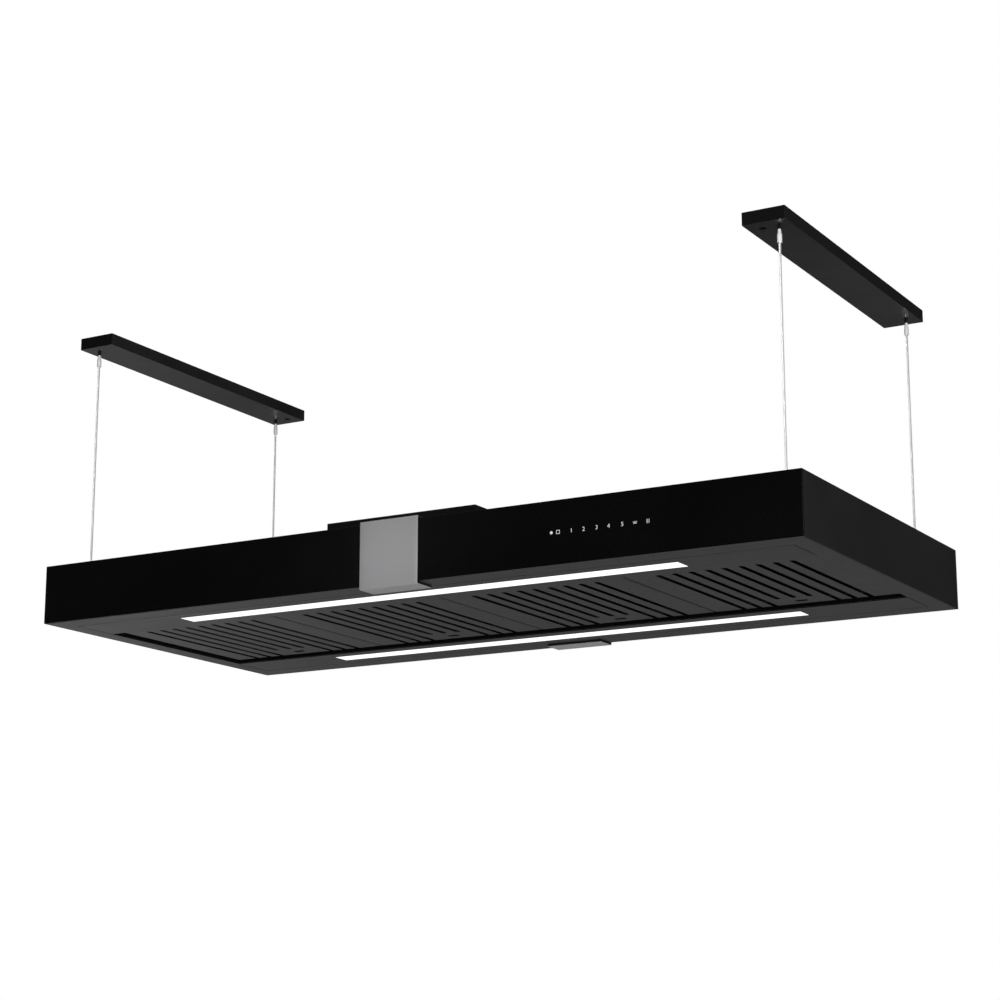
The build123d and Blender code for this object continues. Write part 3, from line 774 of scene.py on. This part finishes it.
# frame of sheet: rings carried round its section and back to the first
def makeFrame(name, node, rings):
    low, high = boxOf(node)
    points, faces = ringShell(rings, planMiddle(low, high), closed=True)
    paintWallShade(makePiece(name, points, faces, [node], merge=0.002 * mm), low[2])


# flat frame with rounded rims and a turned-up lip round the opening
def makeRim():
    low, high = boxOf("rim_frame")
    half = (high - low) / 2
    opening = np.array([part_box("light_panel_front")[1][0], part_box("light_panel_rear")[1][1]])
    sheet, bend, corner, tight = (caseLook[key] for key in ("sheet", "bend", "corner", "openingCorner"))
    base, lipTop = low[2], high[2]
    outer = [ring(half, 0, corner, base + sheet), ring(half, 0, corner, base)]
    turn = [ring(opening, bend * (1 - math.sin(a)), tight, base + bend * (1 - math.cos(a)))
            for a in np.linspace(0, quarterTurn, 6)]
    lip = [ring(opening, 0, tight, lipTop), ring(opening, sheet, caseLook["lipCorner"], lipTop),
           ring(opening, sheet, caseLook["lipCorner"], base + sheet)]
    makeFrame("rimFrame", "rim_frame", outer + turn + lip)


# flush panel round the light strip: rounded at its outer seam and at the window's edge
def makeLightPanel(end):
    low, high = boxOf(f"light_panel_{end}")
    half = (high - low) / 2
    stripLow, stripHigh = boxOf(f"led_diffuser_{end}")
    window = (stripHigh - stripLow) / 2 - diffuserLook["flange"] + diffuserLook["gap"]
    sheet, seam, bend, wall = (caseLook[key] for key in ("sheet", "seam", "bend", "wall"))
    outerCorner, corner, turn = (caseLook[key] for key in ("seamCorner", "windowCorner", "windowBend"))
    base, inner = low[2], low[2] + sheet
    angles = np.linspace(0, quarterTurn, 6)
    rings = [ring(half, -seam - bend * (1 - math.cos(a)), outerCorner, base + bend * (1 - math.sin(a)))
             for a in angles]
    rings += [ring(window, turn * (1 - math.sin(a)), corner, base + turn * (1 - math.cos(a)))
              for a in angles]
    rings += [ring(window, 0, corner, inner), ring(half, -wall, corner, inner),
              ring(half, -wall, corner, high[2]), ring(half, 0, corner, high[2]),
              ring(half, 0, corner, inner), ring(half, -seam, outerCorner, inner)]
    makeFrame(f"lightPanel.{end}", f"light_panel_{end}", rings)


# opal strip on a flange, its face crowned by the fourth power of the distance from its middle
def makeDiffuser(end):
    node = f"led_diffuser_{end}"
    low, high = boxOf(node)
    half = (high - low) / 2
    corner, back = diffuserLook["corner"], low[2] + diffuserLook["depth"]
    face = half - diffuserLook["flange"] - diffuserLook["gap"]
    rings = [ring(face * s, 0, corner * s, low[2] + diffuserLook["crown"] * s ** 4)
             for s in (0.2, 0.5, 0.8, 0.95, 1)]
    rings += [ring(face, 0, corner, back), ring(half, 0, corner, back), ring(half, 0, corner, high[2])]
    points, faces = ringShell(rings, planMiddle(low, high))
    makePiece(f"diffuser.{end}", points, faces, [node])


strapLook = dict(thick=1.2 * mm, bend=1.4 * mm, edge=0.2 * mm, steps=12)


# sheet strap: an L-shaped line with a round bend carried across the strap's width, then thickened
def makeStrap(end):
    node = f"{end}_trim"
    low, high = boxOf(node)
    out = -1 if end == "front" else 1
    face, reach = (low[1], high[1]) if end == "front" else (high[1], low[1])
    line = bentPath([(reach, low[2]), (face, low[2]), (face, high[2])], strapLook["bend"], steps=8)
    across = np.linspace(low[0], high[0], strapLook["steps"] + 1)
    points = np.array([(x, y, z) for x in across for y, z in line])
    faces = gridFaces(len(across), len(line)).tolist()
    piece = makePiece(f"strap.{end}", points, faces, [node])
    wall = piece.modifiers.new("sheet", "SOLIDIFY")
    wall.thickness = strapLook["thick"]
    wall.offset = -1 if facesOut(piece, out) else 1
    soft = piece.modifiers.new("edge", "BEVEL")
    soft.width = strapLook["edge"]
    soft.segments = 2
    soft.limit_method = "ANGLE"


# true if the strap's front faces look away from the hood
def facesOut(piece, out):
    return sum(face.normal[1] * out * face.area for face in piece.data.polygons) > 0


for end in ("front", "rear"):
    makePanel(f"glass.{end}", f"{end}_glass", upright)
    makeLightPanel(end)
    makeDiffuser(end)
    makeStrap(end)
for side in ("left", "right"):
    makePanel(f"sidePanel.{side}", f"side_panel_{side}", sideways)
makeRim()
refinedCopy("outletCover", "outlet_cover", 0.3 * mm)
print("case is made")

filterLook = dict(
    width=352 * mm,  # of a whole filter; the left one is cut short at its outer end
    sheet=0.5 * mm,
    bend=1.2 * mm,
    slots=9,
    slotPitch=30 * mm,
    slotWidth=10 * mm,
    slotFront=-170 * mm,
    shortBack=125 * mm,  # the three middle slots end here
    slotRise=1.3 * mm,  # the rear flange is whole
    plainRows=(-150, 110, 14),  # first and last row in mm, and how many, where no cut changes width
    lastRow=170 * mm,
    lip=0.15 * mm,
    lipReach=1.2 * mm,
    gripLength=23 * mm,
    gripWidth=13 * mm,
    gripY=155 * mm,
    notchSpread=240 * mm,
    notchWidth=26 * mm,
    notchDepth=7 * mm,
)
pinLook = dict(radius=1.5 * mm, soft=0.3 * mm, inset=2 * mm, height=2.5 * mm)
padLook = dict(half=6 * mm, corner=0.8 * mm, soft=0.3 * mm, spread=284 * mm, y=172 * mm)
pullLook = dict(wall=1.5 * mm, soft=0.4 * mm, bevel=1 * mm, corner=3 * mm)


# half width, at each y, of whatever is cut on one lengthwise line: notch, slot or grip opening
def openingWidth(line, y, front, back):
    look = filterLook
    half = look["slotWidth"] / 2
    short = abs(line) < 1.5 * look["slotPitch"]  # the three lines in the middle
    slotBack = look["shortBack"] if short else back + 1
    into = np.clip(np.minimum(y - look["slotFront"], slotBack - y), 0, half)
    width = np.where(y > back + look["slotRise"], 0, np.sqrt(half ** 2 - (half - into) ** 2))
    if abs(line) < 1 * mm:
        reach = np.clip(np.abs(y - look["gripY"]) / (look["gripWidth"] / 2), 0, 1)
        width = np.maximum(width, look["gripLength"] / 2 * (1 - reach ** 5) ** 0.2)
    if abs(abs(line) - look["notchSpread"] / 2) < 1 * mm:
        depth = np.clip((front + look["notchDepth"] - y) / look["notchDepth"], 0, 1)
        width = np.maximum(width, look["notchWidth"] / 2 * (1 - (1 - depth) ** 6) ** (1 / 6))
    return width


# flange, bend, flat, bend, flange as rows of place, height and place along the unfolded sheet
def foldedRun(low, high, rise, bend):
    angle = np.linspace(0, quarterTurn, 5)
    wall = np.array([rise, (rise + bend) / 2, 1.25 * bend, bend])
    arc = bend * (1 - np.sin(angle)), bend * (1 - np.cos(angle))
    start = [(low, h, low - h) for h in wall[:-1]]
    start += [(low + a, b, low + a - b) for a, b in zip(arc[1], arc[0])]
    end = [(high - a, b, high - a + b) for a, b in zip(arc[1][::-1], arc[0][::-1])]
    end += [(high, h, high + h) for h in wall[::-1][1:]]
    return np.array(start), np.array(end)


# slotted tray: strips between neighbouring slot lines, each a grid whose two long edges follow the
# half widths cut on those lines; the slots' edges are drawn in, and the rim is folded up all round
def makeFilterFace(number):
    look = filterLook
    node, body = f"filter_face_{number}", f"filter_{number}"
    low, high = boxOf(node)
    middle = high[0] - look["width"] / 2
    leftEnd, rightEnd = low[0] - middle, look["width"] / 2
    rise = high[2] - low[2]
    front, back = low[1], high[1]
    startRun, endRun = foldedRun(front, back, rise, look["bend"])
    ease = (1 - np.cos(np.linspace(0, quarterTurn, 7))) * look["slotWidth"] / 2
    grip = np.sin(np.linspace(-quarterTurn, quarterTurn, 15)) * look["gripWidth"] / 2 + look["gripY"]
    notch = front + look["notchDepth"] * np.array([0.5, 0.8, 0.92, 0.98, 1.0])
    flat = np.concatenate([notch, look["slotFront"] + ease, np.linspace(*look["plainRows"]) * mm,
                           look["shortBack"] - ease[::-1], grip, [look["lastRow"]]])
    flat = np.unique(np.round(flat[(flat > startRun[-1, 0]) & (flat < endRun[0, 0])], 7))
    run = np.concatenate([startRun, np.column_stack([flat, 0 * flat, flat]), endRun])
    rows = len(run)
    endFold = ((run[:, 1] > 1e-9) | (run[:, 0] <= startRun[-1, 0]) | (run[:, 0] >= endRun[0, 0]))[:, None]
    spread = look["slotPitch"] * (look["slots"] - 1) / 2
    edges = np.concatenate([[leftEnd], np.linspace(-spread, spread, look["slots"]), [rightEnd]])
    sides = [[(np.full(rows, x), np.full(rows, h), True) for x, h, _ in fold]
             for fold in foldedRun(leftEnd, rightEnd, rise, look["bend"])]
    offsets = np.array([0, 0.25, 0.55, 1.0]) * look["lipReach"]
    cuts = [0 * run[:, 0]] + [openingWidth(line, run[:, 2], front, back) for line in edges[1:-1]]
    cuts.append(cuts[0])
    shells = []
    for i, (cutLeft, cutRight) in enumerate(zip(cuts, cuts[1:])):
        left, right = edges[i] + cutLeft, edges[i + 1] - cutRight
        columns = sides[0] if i == 0 else [(left + d, drawn(d, cutLeft), False) for d in offsets]
        columns = columns + [(left * (1 - s) + right * s, 0 * left, False) for s in (0.3, 0.5, 0.7)]
        columns += (sides[1] if i == len(edges) - 2
                    else [(right - d, drawn(d, cutRight), False) for d in offsets[::-1]])
        x, lift = (np.stack([column[k] for column in columns], axis=1) for k in (0, 1))
        sideFold = np.array([column[2] for column in columns])[None, :]
        y = np.tile(run[:, :1], (1, len(columns)))
        z = low[2] + run[:, 1:2] + np.where(endFold & ~sideFold, 0, lift)
        quads = gridFaces(rows, len(columns))
        kept = quads[~(endFold & sideFold).ravel()[quads].all(axis=1)]  # the rim's corners stay open
        shells.append((np.stack([x + middle, y, z], axis=2).reshape(-1, 3), kept))
    points, faces = combine(shells)
    piece = makePiece(f"filterFace.{number}", points, faces, [node], body=body, merge=0.01 * mm)
    mesh = piece.data
    if sum(p.normal[2] * p.area for p in mesh.polygons) > 0:
        mesh.flip_normals()
    mesh.materials.append(finishes["paintedBaffleShade"])  # painted shade: the inside and the cut edges are near black, for the darkness seen in the slots
    wall = piece.modifiers.new("sheet", "SOLIDIFY")
    wall.thickness = look["sheet"]
    wall.offset = -1
    wall.material_offset = 1
    wall.material_offset_rim = 1


# how far a cut edge is drawn in: it fades away from the edge and towards the ends of the cut
def drawn(distance, width):
    look = filterLook
    share = np.clip(width / (look["slotWidth"] / 2), 0, 1)
    return look["lip"] * share * (1 - distance / look["lipReach"]) ** 2


# hinge pins across the notches, and the steel pads that the magnets hold
def makeFilterPins(number):
    look = filterLook
    low, high = boxOf(f"filter_face_{number}")
    middle = high[0] - look["width"] / 2
    across = np.array([[0, 0, 1.0], [0, 1.0, 0], [1.0, 0, 0]])
    half, radius, soft = look["notchWidth"] / 2, pinLook["radius"], pinLook["soft"]
    profile = [(radius - soft, -half), (radius, soft - half), (radius, half - soft), (radius - soft, half)]
    pin, pinFaces = turnedShell(profile, sides=24)
    pinY, pinZ = low[1] + pinLook["inset"], low[2] + pinLook["height"]
    pinPlaces = [(middle + s * look["notchSpread"] / 2, pinY, pinZ) for s in (-1, 1)]
    thick = (high[2] - low[2] - look["sheet"]) / 2
    pad = ringShell(slabRings([padLook["half"]] * 2, padLook["corner"], thick, padLook["soft"]), (0, 0, 0))
    padPlaces = [(middle + s * padLook["spread"] / 2, padLook["y"], high[2] - thick) for s in (-1, 1)]
    points, faces = combine([copies(pin @ across, pinFaces, pinPlaces), copies(*pad, padPlaces)])
    body = f"filter_{number}"
    piece = makePiece(f"filterPins.{number}", points, faces, [], body=body, finish="platedSteel")


# cup with rounded rims: its outline shrinks and rises from the rim outside to the floor inside
def makeFingerPull(number):
    node = f"finger_pull_{number}"
    low, high = boxOf(node)
    half = (high - low) / 2
    wall, soft, bevel, corner = (pullLook[key] for key in ("wall", "soft", "bevel", "corner"))
    rings = [ring(half, -bevel, corner - bevel, high[2]), ring(half, 0, corner, high[2] - bevel),
             ring(half, 0, corner, low[2]), ring(half, -wall, corner - 1.5 * soft, low[2]),
             ring(half, -wall - soft, corner - 2.5 * soft, high[2] - wall - bevel),
             ring(half, -2 * wall, corner - 5 * soft, high[2] - wall)]
    points, faces = ringShell(rings, planMiddle(low, high))
    makePiece(f"fingerPull.{number}", points, faces, [node], body=f"filter_{number}")


for number in (1, 2, 3, 4):
    makeFilterFace(number)
    makeFilterPins(number)
    makeFingerPull(number)
print("filters are made")

touchLook = dict(
    height=53.5 * mm, lift=0.06 * mm, thick=0.05 * mm,
    dotX=312.2 * mm, dotRadius=2.5 * mm,
    squareX=324.5 * mm, squareHalf=2.8 * mm, squareLine=0.8 * mm,
    fontSize=9.8 * mm, digits={"1": 349, "2": 371.3, "3": 394.8, "4": 416.4, "5": 440.8},
    zigX=463.5 * mm, zigStep=1.7 * mm, zigHalf=2.1 * mm, zigLine=0.6 * mm,
    barHalf=3.3 * mm, bars=((484.2, 0.5), (486.2, 0.8), (488.6, 0.8)),  # place and width of each in mm
)


# plain digit as a thin mesh, its middle at x and z on the glass
def makeDigit(text, x, z):
    curve = bpy.data.curves.new("digit", "FONT")
    curve.body = text
    curve.size = touchLook["fontSize"]
    curve.extrude = touchLook["thick"] / 2
    curve.align_x = "CENTER"
    holder = addObject("digit", curve)
    flat = holder.evaluated_get(bpy.context.evaluated_depsgraph_get()).to_mesh()
    points = np.array([v.co for v in flat.vertices])
    faces = [list(p.vertices) for p in flat.polygons]
    holder.to_mesh_clear()
    bpy.data.objects.remove(holder)
    middle = (points.max(0) + points.min(0)) / 2
    points = points - middle
    return np.column_stack([points[:, 0] + x, -points[:, 2], points[:, 1] + z]), faces


# thin bar between two points on the glass, given as x and z
def makeStroke(start, end, width):
    start, end = np.array(start, float), np.array(end, float)
    along = (end - start) / np.linalg.norm(end - start)
    across = np.array([-along[1], along[0]]) * width / 2
    corners = np.array([start + across, end + across, end - across, start - across])
    half = touchLook["thick"] / 2
    points = [np.column_stack([corners[:, 0], np.full(4, y), corners[:, 1]]) for y in (-half, half)]
    walls = [[i, (i + 1) % 4, (i + 1) % 4 + 4, i + 4] for i in range(4)]
    return np.concatenate(points), [[3, 2, 1, 0], [4, 5, 6, 7]] + walls


def makeDot(x, z, radius):
    angle = np.linspace(0, fullTurn, 32, endpoint=False)
    half = touchLook["thick"] / 2
    rim = x + radius * np.cos(angle), z + radius * np.sin(angle)
    points = [np.column_stack([rim[0], np.full(32, y), rim[1]]) for y in (-half, half)]
    faces = [list(range(32)), list(range(32, 64))[::-1]] + gridFaces(2, 32, closeColumns=True).tolist()
    return np.concatenate(points), faces


# all symbols: a dot, a square, digits one to five, a zigzag and three bars
def makeTouchPrint():
    look = touchLook
    glassFace = boxOf("front_glass")[0]
    z = glassFace[2] + look["height"]
    shells = [makeDot(look["dotX"], z, look["dotRadius"])]
    square, line = look["squareHalf"], look["squareLine"]
    left, right = look["squareX"] - square, look["squareX"] + square
    shells += [makeStroke((left, z + s * square), (right, z + s * square), line) for s in (-1, 1)]
    shells += [makeStroke((x, z - square), (x, z + square), line) for x in (left, right)]
    shells += [makeDigit(text, x * mm, z) for text, x in look["digits"].items()]
    zig = [(look["zigX"] + i * look["zigStep"], z + (1 if i % 2 == 0 else -1) * look["zigHalf"])
           for i in (-2, -1, 0, 1, 2)]
    shells += [makeStroke(a, b, look["zigLine"]) for a, b in zip(zig, zig[1:])]
    shells += [makeStroke((x * mm, z - look["barHalf"]), (x * mm, z + look["barHalf"]), wide * mm)
               for x, wide in look["bars"]]
    points, faces = combine(shells)
    points = points + np.array([0, glassFace[1] - look["lift"], 0])
    piece = makePiece("touchPrint", points, faces, [], finish="touchPrint")


makeTouchPrint()
print("touch controls are printed")
